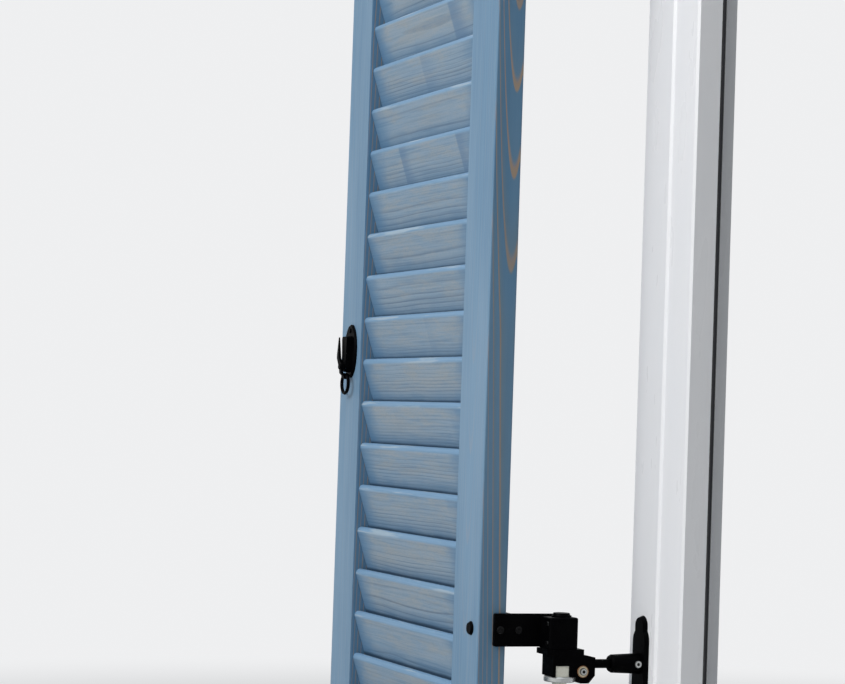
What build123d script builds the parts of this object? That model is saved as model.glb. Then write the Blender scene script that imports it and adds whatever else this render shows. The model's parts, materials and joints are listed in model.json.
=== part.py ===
# Pair of louvred window shutters on offset hinges, with the outer window frame that carries them.
# Millimetres, Z up. The origin is the middle of the back face of the frame's bottom member.
# The leaves are drawn open, folded back beside the window, their room faces towards -Y.

import os
from math import acos, cos, degrees, radians, sin, tan

from build123d import *

os.makedirs("parts", exist_ok=True)

# Driving dimensions of a leaf
leaf_width = 456.0
leaf_height = 1200.0
leaf_thickness = 32.0
stile_width = 68.0
top_rail_height = 82.0
bottom_rail_height = 109.0
edge_round = 2.0
rebate_height = 12.0
rebate_depth = 6.0
tenon_thickness = 12.0
tenon_length = 34.0
tenon_shoulder = 14.0
fit_gap = 0.3

# Driving dimensions of the louvre slats
wanted_pitch = 50.0
slat_thickness = 11.0
slat_board = 59.0
slat_tilt = 18.0
nose_setback = 4.0
top_slat_gap = 2.3
bottom_slat_gap = 6.7
housing_depth = 8.0
rail_bevel = 20.0

# Driving dimensions of the window frame
frame_face = 105.0
frame_flat = 57.0
frame_relief = 2.5
frame_depth = 60.0
frame_lip = 33.0
frame_step = 18.0
sill_room = 15.0
edge_room = 30.0

# Driving dimensions of the hinges
hinge_offset = 16.0
pivot_depth = 88.0
frame_gap = 8.0
meeting_gap = 6.0
lower_hinge_height = 229.0
upper_hinge_drop = 165.0
pin_diameter = 10.0
running_gap = 0.05
strap_height = 34.4
strap_thickness = 5.0
strap_cover = 15.0
flange_length = 50.0
knuckle_front = 18.5
knuckle_rear = 14.5
knuckle_rise = 15.1
knuckle_fall = 17.7
knuckle_side = 13.0
cap_radius = 10.7
bolt_diameter = 8.0
bolt_inset = 19.0
arm_drop = 34.2
rod_diameter = 9.5
plate_width = 31.0
plate_tongue = 22.0
plate_thickness = 5.0
plate_top = 16.5
plate_shoulder = 5.0
plate_bottom = 84.0
sleeve_radius = 11.0
sleeve_taper = 2.4
sleeve_length = 35.0
sleeve_tip = 2.5
block_half_width = 14.0
block_back = 14.0
block_reach = 34.3
skirt_half = 21.0
skirt_height = 5.8
shoulder_drop = 8.2
nut_radius = 16.8
nut_thickness = 5.6
nut_slot = 10.0
nut_drop = 52.4
block_bottom = 53.4
guide_height = 11.2
guide_lead = 3.0
foot_height = 17.0

# Driving dimensions of the latch
latch_height = 525.0
latch_inset = 37.0
latch_plate_width = 38.0
latch_plate_height = 64.0
latch_plate_thickness = 3.0
latch_body_width = 18.0
latch_body_top = 18.0
body_corner = 4.0
body_foot = 7.0
latch_body_rise = 7.0
lever_thickness = 3.0
lever_pivot_drop = 19.0
lever_pin_diameter = 6.0
lever_hub = 4.7
prong_outer = 13.6
prong_width = 7.6
prong_thinning = 1.7
ring_wire = 4.0
ring_radius = 11.5
ring_flat = 6.0
ring_shoulder = 3.0
lug_thickness = 6.0
lug_height = 21.0
keeper_reach = 46.0

# Positions that follow from the driving dimensions
pivot_x = leaf_width + meeting_gap / 2 + hinge_offset
pivot_y = -(frame_depth + frame_gap + pivot_depth)
edge_x = -(pivot_x + hinge_offset)
free_x = edge_x - leaf_width
inner_y = pivot_y - pivot_depth
outer_y = inner_y + leaf_thickness
middle_y = (inner_y + outer_y) / 2
frame_base = -(frame_face - frame_step) / 2
leaf_bottom = frame_base + sill_room
leaf_top = leaf_bottom + leaf_height
rail_line = leaf_top - top_rail_height
frame_half = pivot_x + edge_room
frame_height = leaf_height + 2 * sill_room
frame_top = frame_base + frame_height
lower_hinge = leaf_bottom + lower_hinge_height
upper_hinge = leaf_top - upper_hinge_drop

# The slats share the height between the rails evenly
slat_run = leaf_height - top_rail_height - bottom_rail_height - top_slat_gap - bottom_slat_gap
slat_count = round(slat_run / wanted_pitch)
slat_pitch = slat_run / slat_count
nose_radius = slat_thickness / 2
nose_tops = [rail_line - top_slat_gap - slat_pitch * step for step in range(slat_count)]


# Sketch planes: across looks along X, facing looks at the room face, level looks down
def across(x):
    return Plane.YZ.offset(x)


def facing(y):
    return Plane.XZ.offset(-y)


def level(z):
    return Plane.XY.offset(z)


# The outline of every slat, grown by a clearance where it makes a housing
def slat_outlines(grow):
    length = slat_board - nose_radius + 2 * grow
    reach = (slat_board - nose_radius) / 2
    for top in nose_tops:
        nose_y = inner_y + nose_setback + nose_radius
        nose_z = top - nose_radius
        board_y = nose_y + reach * sin(radians(slat_tilt))
        board_z = nose_z - reach * cos(radians(slat_tilt))
        with Locations((nose_y, nose_z)):
            Circle(nose_radius + grow)
        with Locations((board_y, board_z)):
            Rectangle(length, slat_thickness + 2 * grow, rotation=slat_tilt - 90)


# The rebate along the bottom of a leaf's room face
def bottom_rebate():
    with Locations((inner_y + rebate_depth / 2, leaf_bottom + rebate_height / 2)):
        Rectangle(rebate_depth, rebate_height)


tenon_width = stile_width - 2 * tenon_shoulder
rail_tenon_height = bottom_rail_height - 2 * tenon_shoulder - rebate_height
rail_tenon_middle = leaf_bottom + rebate_height + tenon_shoulder + rail_tenon_height / 2 - 6.0
stile_height = rail_line - leaf_bottom

# Hinge stile: housed for the slats, bored for the two hinge bolts
stile_x = edge_x - stile_width / 2
with BuildPart() as hinge_stile:
    with BuildSketch(level(leaf_bottom)):
        with Locations((stile_x, middle_y)):
            Rectangle(stile_width, leaf_thickness)
    extrude(amount=stile_height)
    fillet(hinge_stile.edges().filter_by(Axis.Z).group_by(Axis.X)[-1], radius=edge_round)
    with BuildSketch(level(rail_line)):
        with Locations((stile_x, middle_y)):
            Rectangle(tenon_width, tenon_thickness)
    extrude(amount=tenon_length)
    with BuildSketch(across(edge_x - stile_width)):
        slat_outlines(fit_gap)
    extrude(amount=housing_depth + fit_gap, mode=Mode.SUBTRACT)
    with BuildSketch(across(edge_x - stile_width)):
        with Locations((middle_y, rail_tenon_middle)):
            Rectangle(tenon_thickness + 2 * fit_gap, rail_tenon_height + 2 * fit_gap)
    extrude(amount=tenon_length + fit_gap, mode=Mode.SUBTRACT)
    with BuildSketch(across(edge_x - stile_width)):
        bottom_rebate()
    extrude(amount=stile_width, mode=Mode.SUBTRACT)
    with BuildSketch(facing(outer_y)):
        with Locations((edge_x - bolt_inset, lower_hinge), (edge_x - bolt_inset, upper_hinge)):
            Circle(bolt_diameter / 2 + fit_gap)
    extrude(amount=leaf_thickness, mode=Mode.SUBTRACT)

# Free stile: the one that meets the other leaf
stile_x = free_x + stile_width / 2
with BuildPart() as free_stile:
    with BuildSketch(level(leaf_bottom)):
        with Locations((stile_x, middle_y)):
            Rectangle(stile_width, leaf_thickness)
    extrude(amount=stile_height)
    fillet(free_stile.edges().filter_by(Axis.Z).group_by(Axis.X)[0], radius=edge_round)
    with BuildSketch(level(rail_line)):
        with Locations((stile_x, middle_y)):
            Rectangle(tenon_width, tenon_thickness)
    extrude(amount=tenon_length)
    with BuildSketch(across(free_x + stile_width)):
        slat_outlines(fit_gap)
    extrude(amount=-(housing_depth + fit_gap), mode=Mode.SUBTRACT)
    with BuildSketch(across(free_x + stile_width)):
        with Locations((middle_y, rail_tenon_middle)):
            Rectangle(tenon_thickness + 2 * fit_gap, rail_tenon_height + 2 * fit_gap)
    extrude(amount=-(tenon_length + fit_gap), mode=Mode.SUBTRACT)
    with BuildSketch(across(free_x)):
        bottom_rebate()
    extrude(amount=stile_width, mode=Mode.SUBTRACT)

# Top rail: runs over both stiles and takes their tenons
with BuildPart() as top_rail:
    with BuildSketch(across(free_x)):
        with Locations((middle_y, rail_line + top_rail_height / 2)):
            Rectangle(leaf_thickness, top_rail_height)
    extrude(amount=leaf_width)
    fillet(top_rail.edges().filter_by(Axis.X).group_by(Axis.Z)[-1], radius=edge_round)
    with BuildSketch(level(rail_line)):
        for tenon_x in (free_x + stile_width / 2, edge_x - stile_width / 2):
            with Locations((tenon_x, middle_y)):
                Rectangle(tenon_width + 2 * fit_gap, tenon_thickness + 2 * fit_gap)
    extrude(amount=tenon_length + fit_gap, mode=Mode.SUBTRACT)

# Bottom rail: set between the stiles, its top bevelled down towards the weather side
rail_length = leaf_width - 2 * stile_width
rail_top = leaf_bottom + bottom_rail_height
bevel_drop = leaf_thickness * sin(radians(rail_bevel)) / cos(radians(rail_bevel))
with BuildPart() as bottom_rail:
    with BuildSketch(across(free_x + stile_width)):
        with BuildLine():
            Polyline(
                (inner_y, leaf_bottom),
                (outer_y, leaf_bottom),
                (outer_y, rail_top - bevel_drop),
                (inner_y, rail_top),
                close=True,
            )
        make_face()
    extrude(amount=rail_length)
    fillet(bottom_rail.edges().filter_by(Axis.X).group_by(Axis.Z)[-1], radius=edge_round)
    with BuildSketch(across(free_x + stile_width - tenon_length)):
        with Locations((middle_y, rail_tenon_middle)):
            Rectangle(tenon_thickness, rail_tenon_height)
    extrude(amount=rail_length + 2 * tenon_length)
    with BuildSketch(across(free_x + stile_width)):
        bottom_rebate()
    extrude(amount=rail_length, mode=Mode.SUBTRACT)

# Slats: round-nosed boards leaning down and away from the room
with BuildPart() as slats:
    with BuildSketch(across(free_x + stile_width - housing_depth)):
        slat_outlines(0)
    extrude(amount=rail_length + 2 * housing_depth)

# Stop on the top rail that meets the frame head when the leaf is shut
stop_x = free_x + 0.79 * leaf_width
stop_top = leaf_top - 14.0
stop_height = 18.0
stop_rise = frame_gap - 0.5
with BuildPart() as stop:
    with BuildSketch(facing(inner_y)):
        with BuildLine():
            Polyline(
                (stop_x - 11, stop_top),
                (stop_x + 11, stop_top),
                (stop_x + 7, stop_top - stop_height),
                (stop_x - 7, stop_top - stop_height),
                close=True,
            )
        make_face()
    extrude(amount=stop_rise, taper=12)


# A hinge strap: side plate and rear flange on the stile, ending in the knuckle housing
def make_strap(height):
    with BuildPart() as strap:
        plate_start = outer_y - strap_cover
        plate_span = pivot_y - plate_start
        with BuildSketch(across(edge_x)):
            with Locations((plate_start + plate_span / 2, height)):
                RectangleRounded(plate_span, strap_height, 2)
        extrude(amount=strap_thickness)
        with BuildSketch(facing(outer_y + strap_thickness)):
            with Locations((edge_x + strap_thickness - flange_length / 2, height)):
                RectangleRounded(flange_length, strap_height, 2)
        extrude(amount=strap_thickness)
        with BuildSketch(level(height - knuckle_fall)):
            with Locations((-pivot_x + (knuckle_side - hinge_offset) / 2, pivot_y + (knuckle_rear - knuckle_front) / 2)):
                RectangleRounded(hinge_offset + knuckle_side, knuckle_front + knuckle_rear, 3)
        extrude(amount=knuckle_fall + knuckle_rise)
        fillet(strap.faces().sort_by(Axis.Y)[-1].edges().sort_by(Axis.Z)[-1], radius=2)
        with BuildSketch(level(height - knuckle_fall)):
            with Locations((-pivot_x, pivot_y)):
                Circle(pin_diameter / 2 + running_gap)
        extrude(amount=knuckle_fall + knuckle_rise, mode=Mode.SUBTRACT)
        with BuildSketch(facing(outer_y + strap_thickness)):
            with Locations((edge_x - bolt_inset, height)):
                Circle(bolt_diameter / 2 + fit_gap)
        extrude(amount=strap_thickness, mode=Mode.SUBTRACT)
    return strap.part


lower_strap = make_strap(lower_hinge)
upper_strap = make_strap(upper_hinge)

# Caps that close the tops of the knuckles
with BuildPart() as caps:
    for height in (lower_hinge, upper_hinge):
        with BuildSketch(level(height + knuckle_rise)):
            with Locations((-pivot_x, pivot_y)):
                Circle(cap_radius)
        extrude(amount=1.6)
        with BuildSketch(level(height + knuckle_rise + 1.6)):
            with Locations((-pivot_x, pivot_y)):
                Circle(cap_radius - 1.2)
        extrude(amount=2.6, taper=20)

# Bolts through the hinge stile: domed head on the room face, washer and nut behind
bolt_back = outer_y + strap_thickness
with BuildPart() as bolts:
    for height in (lower_hinge, upper_hinge):
        with BuildSketch(facing(bolt_back + 10.0)):
            with Locations((edge_x - bolt_inset, height)):
                Circle(bolt_diameter / 2)
        extrude(amount=10.0 + strap_thickness + leaf_thickness)
        with BuildSketch(facing(inner_y)):
            with Locations((edge_x - bolt_inset, height)):
                Circle(7.5)
        extrude(amount=3.0, taper=30)
        with BuildSketch(facing(bolt_back + 1.6)):
            with Locations((edge_x - bolt_inset, height)):
                Circle(8)
        extrude(amount=1.6)
        with BuildSketch(facing(bolt_back + 8.1)):
            with Locations((edge_x - bolt_inset, height)):
                RegularPolygon(7.5, 6)
        extrude(amount=6.5)

# Small screws in the room side of each knuckle housing
with BuildPart() as knuckle_screws:
    for height in (lower_hinge, upper_hinge):
        for screw_z in (height + 8.3, height - 12.0):
            with BuildSketch(facing(pivot_y - knuckle_front)):
                with Locations((-pivot_x + knuckle_side / 2, screw_z)):
                    Circle(2.6)
            extrude(amount=1.0, taper=15)


# A frame plate with the tapered sleeve that holds the hinge arm
def make_plate(height):
    plate_y = -frame_depth
    sleeve_shrink = (sleeve_length - sleeve_tip) * tan(radians(sleeve_taper))
    with BuildPart() as plate:
        for top, width in ((plate_shoulder, plate_width), (plate_top, plate_tongue)):
            with BuildSketch(facing(plate_y)):
                with Locations((-pivot_x, height + (top - plate_bottom) / 2)):
                    SlotOverall(top + plate_bottom, width, rotation=90)
            extrude(amount=plate_thickness, taper=22)
        with BuildSketch(facing(plate_y - plate_thickness + 1)):
            with Locations((-pivot_x, height - arm_drop)):
                Circle(sleeve_radius)
        extrude(amount=sleeve_length - sleeve_tip, taper=sleeve_taper)
        with BuildSketch(facing(plate_y - plate_thickness + 1 - sleeve_length + sleeve_tip)):
            with Locations((-pivot_x, height - arm_drop)):
                Circle(sleeve_radius - sleeve_shrink)
        extrude(amount=sleeve_tip, taper=30)
        with BuildSketch(facing(plate_y - plate_thickness)):
            with Locations((-pivot_x, height - arm_drop)):
                Circle(rod_diameter / 2 + fit_gap)
        extrude(amount=sleeve_length, mode=Mode.SUBTRACT)
    return plate.part


lower_plate = make_plate(lower_hinge)
upper_plate = make_plate(upper_hinge)

rod_end = -frame_depth - plate_thickness - fit_gap
rod_z = lower_hinge - arm_drop
pin_bottom = lower_hinge - nut_drop - foot_height + 1.0
pin_top = lower_hinge + knuckle_rise - fit_gap

# Lower hinge arm: a round rod from the sleeve to the adjusting block
with BuildPart() as lower_rod:
    with BuildSketch(facing(rod_end)):
        with Locations((-pivot_x, rod_z)):
            Circle(rod_diameter / 2)
    extrude(amount=rod_end - (pivot_y + 22.0))

# Adjusting block: carries the pivot pin, bored for the rod, with room for the guide and the height nut
block_top = lower_hinge - knuckle_fall - fit_gap
nut_bottom = lower_hinge - nut_drop
nut_top = nut_bottom + nut_thickness
guide_bottom = nut_top + fit_gap
guide_y = pivot_y - guide_lead
with BuildPart() as adjusting_block:
    with BuildSketch(across(-pivot_x - block_half_width)):
        with BuildLine():
            Polyline(
                (pivot_y - block_back, lower_hinge - block_bottom),
                (pivot_y + block_reach - 7, lower_hinge - block_bottom),
                (pivot_y + block_reach, lower_hinge - block_bottom + 8),
                (pivot_y + block_reach, block_top - shoulder_drop),
                (pivot_y + skirt_half, block_top - skirt_height),
                (pivot_y + skirt_half, block_top),
                (pivot_y - skirt_half, block_top),
                (pivot_y - skirt_half, block_top - skirt_height),
                (pivot_y - block_back, block_top - skirt_height),
                close=True,
            )
        make_face()
    extrude(amount=2 * block_half_width)
    with BuildSketch(across(-pivot_x - block_half_width)):
        with Locations((guide_y, guide_bottom + guide_height / 2)):
            Rectangle(15.6, guide_height + 2 * fit_gap)
        with Locations((pivot_y, nut_top + fit_gap - nut_slot / 2)):
            Rectangle(2 * nut_radius + 2.4, nut_slot)
    extrude(amount=2 * block_half_width, mode=Mode.SUBTRACT)
    with BuildSketch(level(guide_bottom)):
        with Locations((-pivot_x, pivot_y)):
            Circle(pin_diameter / 2 + fit_gap)
    extrude(amount=block_top - guide_bottom, mode=Mode.SUBTRACT)
    with BuildSketch(facing(pivot_y + block_reach)):
        with Locations((-pivot_x, rod_z)):
            Circle(rod_diameter / 2 + fit_gap)
    extrude(amount=block_reach - 21.0, mode=Mode.SUBTRACT)

# Lower pivot pin, standing through the block into the knuckle
with BuildPart() as lower_pin:
    with BuildSketch(level(pin_bottom)):
        with Locations((-pivot_x, pivot_y)):
            Circle(pin_diameter / 2)
    extrude(amount=pin_top - pin_bottom)

# Square guide in the window of the adjusting block, open at the back where it clips over the pin
with BuildPart() as guide:
    with BuildSketch(level(guide_bottom)):
        with Locations((-pivot_x, guide_y)):
            Rectangle(26, 15)
        with Locations((-pivot_x, pivot_y)):
            Circle(pin_diameter / 2 + fit_gap, mode=Mode.SUBTRACT)
    extrude(amount=guide_height)

# Height nut: the round disc under the guide
with BuildPart() as height_nut:
    with BuildSketch(level(nut_bottom)):
        with Locations((-pivot_x, pivot_y)):
            Circle(nut_radius)
            Circle(pin_diameter / 2 + fit_gap, mode=Mode.SUBTRACT)
    extrude(amount=nut_thickness)
    chamfer(height_nut.edges().filter_by(GeomType.CIRCLE).group_by(SortBy.RADIUS)[-1], length=0.8)

# Round foot below the height nut
with BuildPart() as foot:
    with BuildSketch(level(nut_bottom - fit_gap - foot_height)):
        with Locations((-pivot_x, pivot_y)):
            Circle(7.5)
            Circle(pin_diameter / 2 + fit_gap, mode=Mode.SUBTRACT)
    extrude(amount=foot_height)

# Upper pin: pin, elbow and arm in one piece
upper_rod_z = upper_hinge - arm_drop
elbow_top = upper_hinge - knuckle_fall - fit_gap
elbow_bottom = upper_rod_z - rod_diameter / 2 - 1.0
with BuildPart() as upper_pin:
    with BuildSketch(level(elbow_top)):
        with Locations((-pivot_x, pivot_y)):
            Circle(pin_diameter / 2)
    extrude(amount=knuckle_fall + knuckle_rise)
    with BuildSketch(across(-pivot_x - 9)):
        with BuildLine():
            Polyline(
                (pivot_y - 9, elbow_top),
                (pivot_y + 18, elbow_top),
                (pivot_y + 18, elbow_bottom),
                (pivot_y - 3, elbow_bottom),
                (pivot_y - 9, elbow_bottom + 6),
                close=True,
            )
        make_face()
    extrude(amount=18)
    with BuildSketch(facing(rod_end)):
        with Locations((-pivot_x, upper_rod_z)):
            Circle(rod_diameter / 2)
    extrude(amount=rod_end - (pivot_y + 16.0))

# Screws on the arms: one in each sleeve, and the clamp screw with its washer on the block
sleeve_screw_y = -frame_depth - plate_thickness - 5.0
clamp_y = pivot_y + 20.0
clamp_z = lower_hinge - 41.0
with BuildPart() as arm_screws:
    for height in (lower_hinge, upper_hinge):
        with BuildSketch(across(-pivot_x + 10.2)):
            with Locations((sleeve_screw_y, height - arm_drop)):
                Circle(3.7)
                RegularPolygon(1.8, 6, mode=Mode.SUBTRACT)
        extrude(amount=1.8)
        with BuildSketch(across(-pivot_x + rod_diameter / 2 + 2 * fit_gap)):
            with Locations((sleeve_screw_y, height - arm_drop)):
                Circle(2.0)
        extrude(amount=10.2 - rod_diameter / 2 - 2 * fit_gap)
    with BuildSketch(across(-pivot_x + block_half_width)):
        with Locations((clamp_y, clamp_z)):
            Circle(6.2)
    extrude(amount=1.2)
    with BuildSketch(across(-pivot_x + block_half_width + 1.2)):
        with Locations((clamp_y, clamp_z)):
            Circle(3.6)
            RegularPolygon(1.8, 6, mode=Mode.SUBTRACT)
    extrude(amount=2.0)

# The sleeves are drilled for their screws
with BuildPart() as screw_bore:
    for height in (lower_hinge, upper_hinge):
        with BuildSketch(across(-pivot_x)):
            with Locations((sleeve_screw_y, height - arm_drop)):
                Circle(2.0 + fit_gap)
        extrude(amount=16)
        with BuildSketch(across(-pivot_x + 10.0)):
            with Locations((sleeve_screw_y, height - arm_drop)):
                Circle(3.7 + fit_gap)
        extrude(amount=6)
lower_plate = lower_plate - screw_bore.part
upper_plate = upper_plate - screw_bore.part


# One mitred member of the window frame, stepped at the back to receive a sash
def frame_profile():
    Polygon(
        (0, 0),
        (frame_face - frame_step, 0),
        (frame_face - frame_step, -(frame_depth - frame_lip)),
        (frame_face, -(frame_depth - frame_lip)),
        (frame_face, 3 * frame_relief - frame_depth),
        (frame_face - frame_relief, 2 * frame_relief - frame_depth),
        (frame_flat + frame_relief, frame_relief - frame_depth),
        (frame_flat, -frame_depth),
        (0, -frame_depth),
        align=None,
    )


mitre_low = Plane(origin=(-frame_half, 0, frame_base), x_dir=(0, 1, 0), z_dir=(1, 0, -1))
mitre_high = Plane(origin=(-frame_half, 0, frame_top), x_dir=(0, 1, 0), z_dir=(1, 0, 1))
with BuildPart() as jamb:
    with BuildSketch(Plane(origin=(-frame_half, 0, frame_base), x_dir=(1, 0, 0), z_dir=(0, 0, 1))):
        frame_profile()
    extrude(amount=frame_height)
    split(bisect_by=mitre_low, keep=Keep.BOTTOM)
    split(bisect_by=mitre_high, keep=Keep.BOTTOM)

corner_left = Plane(origin=(-frame_half, 0, frame_base), x_dir=(0, 1, 0), z_dir=(-1, 0, 1))
corner_right = Plane(origin=(frame_half, 0, frame_base), x_dir=(0, 1, 0), z_dir=(1, 0, 1))
with BuildPart() as frame_bottom:
    with BuildSketch(Plane(origin=(-frame_half, 0, frame_base), x_dir=(0, 0, 1), z_dir=(-1, 0, 0))):
        frame_profile()
    extrude(amount=-2 * frame_half)
    split(bisect_by=corner_left, keep=Keep.BOTTOM)
    split(bisect_by=corner_right, keep=Keep.BOTTOM)
frame_head = mirror(frame_bottom.part, about=level(frame_base + frame_height / 2))

# Hook plate: oval plate with the raised body that carries the lever
latch_x = free_x + latch_inset
latch_z = leaf_bottom + latch_height
body_front = inner_y - latch_plate_thickness - latch_body_rise
lever_pivot_z = latch_z - lever_pivot_drop
with BuildPart() as hook_plate:
    with BuildSketch(facing(inner_y)):
        with Locations((latch_x, latch_z)):
            Ellipse(latch_plate_width / 2, latch_plate_height / 2)
    extrude(amount=latch_plate_thickness)
    chamfer(hook_plate.faces().sort_by(Axis.Y)[0].edges(), length=1.4)
    with BuildSketch(facing(inner_y - latch_plate_thickness + 0.5)):
        for side in (-1, 1):
            corner_x = latch_x + side * (latch_body_width / 2 - body_corner)
            with Locations((corner_x, latch_z + latch_body_top - body_corner)):
                Circle(body_corner)
        with Locations((latch_x, lever_pivot_z)):
            Circle(body_foot)
        make_hull()
    extrude(amount=latch_body_rise + 0.5, taper=6)
    with BuildSketch(facing(inner_y)):
        with Locations((latch_x, lever_pivot_z)):
            Circle(lever_pin_diameter / 2 + running_gap)
        with Locations((latch_x, latch_z + 24.5)):
            Circle(1.8)
    extrude(amount=latch_plate_thickness + latch_body_rise, mode=Mode.SUBTRACT)

# Pin of the lever, headed over its front
lever_back = body_front - 1.0
lever_front = lever_back - lever_thickness
with BuildPart() as lever_pin:
    with BuildSketch(facing(inner_y - 0.3)):
        with Locations((latch_x, lever_pivot_z)):
            Circle(lever_pin_diameter / 2)
    extrude(amount=inner_y - 0.3 - lever_front + fit_gap)
    with BuildSketch(facing(lever_front - fit_gap)):
        with Locations((latch_x, lever_pivot_z)):
            Circle(3.9)
    extrude(amount=1.6, taper=25)

# Lever: a flat hook with an upright prong, set back at its foot to the eye for the ring
prong_x = latch_x - prong_outer
prong_top = latch_z + latch_body_top - 1.5
eye_radius = ring_wire / 2 + 1.7
eye_y = inner_y - latch_plate_thickness - eye_radius - 0.5
eye_z = lever_pivot_z - body_foot - eye_radius - 0.5
with BuildPart() as lever:
    with BuildSketch(facing(lever_back)):
        with BuildLine():
            Polyline(
                (prong_x, lever_pivot_z + 10),
                (prong_x, prong_top - 1),
                (prong_x + 0.6, prong_top),
                (prong_x + 1.2, prong_top),
                (prong_x + prong_width, lever_pivot_z + 10.5),
                (latch_x - 1, lever_pivot_z + 5),
                (latch_x + 3, lever_pivot_z),
                (latch_x + 3, lever_pivot_z - 8),
                (latch_x - 3, lever_pivot_z - 8),
                (latch_x - 4.5, lever_pivot_z - 3),
                close=True,
            )
        make_face()
        with Locations((latch_x, lever_pivot_z)):
            Circle(lever_hub)
    extrude(amount=lever_thickness)
    with BuildSketch(across(prong_x - 1)):
        with BuildLine():
            Polyline(
                (lever_front, lever_pivot_z + 14),
                (lever_front + prong_thinning, prong_top + 1),
                (lever_front - 1, prong_top + 1),
                (lever_front - 1, lever_pivot_z + 14),
                close=True,
            )
        make_face()
    extrude(amount=prong_width + 2, mode=Mode.SUBTRACT)
    with BuildSketch(across(latch_x - 3)):
        with BuildLine():
            Polyline(
                (lever_back, lever_pivot_z - 5.6),
                (lever_front, lever_pivot_z - 5.6),
                (lever_front, lever_pivot_z - 8),
                (eye_y - eye_radius, eye_z),
                (eye_y, eye_z),
                (eye_y, eye_z + eye_radius),
                (lever_back, eye_z + eye_radius),
                close=True,
            )
        make_face()
    extrude(amount=6)
    with BuildSketch(across(latch_x - 3.5)):
        with Locations((eye_y, eye_z)):
            Circle(eye_radius)
    extrude(amount=7)
    with BuildSketch(across(latch_x - 4)):
        with Locations((eye_y, eye_z)):
            Circle(ring_wire / 2 + running_gap)
    extrude(amount=8, mode=Mode.SUBTRACT)
    with BuildSketch(facing(lever_back)):
        with Locations((latch_x, lever_pivot_z)):
            Circle(lever_pin_diameter / 2 + running_gap)
    extrude(amount=lever_thickness, mode=Mode.SUBTRACT)

# Pull ring: round wire bent round, with a short straight bar through the eye
ring_turn = degrees(acos(ring_flat / (ring_radius - ring_shoulder)))
ring_centre = eye_z - ring_shoulder - (ring_radius - ring_shoulder) * sin(radians(ring_turn))
with BuildPart() as ring:
    with BuildLine(facing(eye_y)) as ring_path:
        Line((latch_x - ring_flat, eye_z), (latch_x + ring_flat, eye_z))
        CenterArc((latch_x + ring_flat, eye_z - ring_shoulder), ring_shoulder, 90, ring_turn - 90)
        CenterArc((latch_x, ring_centre), ring_radius, ring_turn, -180 - 2 * ring_turn)
        CenterArc((latch_x - ring_flat, eye_z - ring_shoulder), ring_shoulder, 180 - ring_turn, ring_turn - 90)
    with BuildSketch(across(latch_x - ring_flat)):
        with Locations((eye_y, eye_z)):
            Circle(ring_wire / 2)
    sweep(path=ring_path.line)

# Screw that fixes the top of the hook plate
with BuildPart() as hook_screw:
    with BuildSketch(facing(inner_y)):
        with Locations((latch_x, latch_z + 24.5)):
            Circle(1.5)
    extrude(amount=latch_plate_thickness)
    with BuildSketch(facing(inner_y - latch_plate_thickness)):
        with Locations((latch_x, latch_z + 24.5)):
            Circle(3.0)
    extrude(amount=1.2, taper=25)

# Keeper on the other leaf: drawn at its own place, on the right
keeper_x = -latch_x
arm_middle = latch_z - 4.5
with BuildPart() as keeper_plate:
    with BuildSketch(facing(inner_y)):
        with Locations((keeper_x, latch_z)):
            Ellipse(latch_plate_width / 2, latch_plate_height / 2)
    extrude(amount=latch_plate_thickness)
    chamfer(keeper_plate.faces().sort_by(Axis.Y)[0].edges(), length=1.4)

lug_end = -free_x + meeting_gap + latch_inset - latch_body_width / 2 - 2.0
near_lug_back = inner_y - latch_plate_thickness - 1.0
far_lug_back = inner_y - keeper_reach + lug_thickness
with BuildPart() as keeper_arm:
    with BuildSketch(facing(inner_y - latch_plate_thickness)):
        with Locations((keeper_x, arm_middle)):
            RectangleRounded(8, lug_height, 1.5)
    extrude(amount=keeper_reach - latch_plate_thickness)
    for lug_back in (near_lug_back, far_lug_back):
        with BuildSketch(facing(lug_back)):
            with Locations(((keeper_x + lug_end) / 2, arm_middle)):
                Rectangle(lug_end - keeper_x, lug_height)
        extrude(amount=lug_thickness)

with BuildPart() as keeper_screws:
    for screw_z in (latch_z + 22.0, latch_z - 24.0):
        with BuildSketch(facing(inner_y - latch_plate_thickness)):
            with Locations((keeper_x, screw_z)):
                Circle(3.2)
        extrude(amount=1.2, taper=25)

# The pieces that exist on both sides are mirrored for the right-hand leaf
paired = {
    "hinge_stile": hinge_stile.part,
    "free_stile": free_stile.part,
    "top_rail": top_rail.part,
    "bottom_rail": bottom_rail.part,
    "slats": slats.part,
    "stop": stop.part,
    "lower_strap": lower_strap,
    "upper_strap": upper_strap,
    "knuckle_caps": caps.part,
    "hinge_bolts": bolts.part,
    "knuckle_screws": knuckle_screws.part,
    "lower_plate": lower_plate,
    "upper_plate": upper_plate,
    "lower_rod": lower_rod.part,
    "adjusting_block": adjusting_block.part,
    "lower_pin": lower_pin.part,
    "guide": guide.part,
    "height_nut": height_nut.part,
    "foot": foot.part,
    "upper_pin": upper_pin.part,
    "arm_screws": arm_screws.part,
    "jamb": jamb.part,
}
single = {
    "frame_bottom": frame_bottom.part,
    "frame_head": frame_head,
    "hook_plate": hook_plate.part,
    "hook_pin": lever_pin.part,
    "hook_lever": lever.part,
    "hook_ring": ring.part,
    "hook_screw": hook_screw.part,
    "keeper_plate": keeper_plate.part,
    "keeper_arm": keeper_arm.part,
    "keeper_screws": keeper_screws.part,
}


def save(name, shape):
    shape.label = name
    export_step(shape, "parts/" + name + ".step")


for name, shape in paired.items():
    save("left_" + name, shape)
    save("right_" + name, mirror(shape, about=Plane.YZ))
for name, shape in single.items():
    save(name, shape)
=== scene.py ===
import json
from math import cos, pi, radians, sin, tan

import bpy
from mathutils import Matrix, Vector


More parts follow.
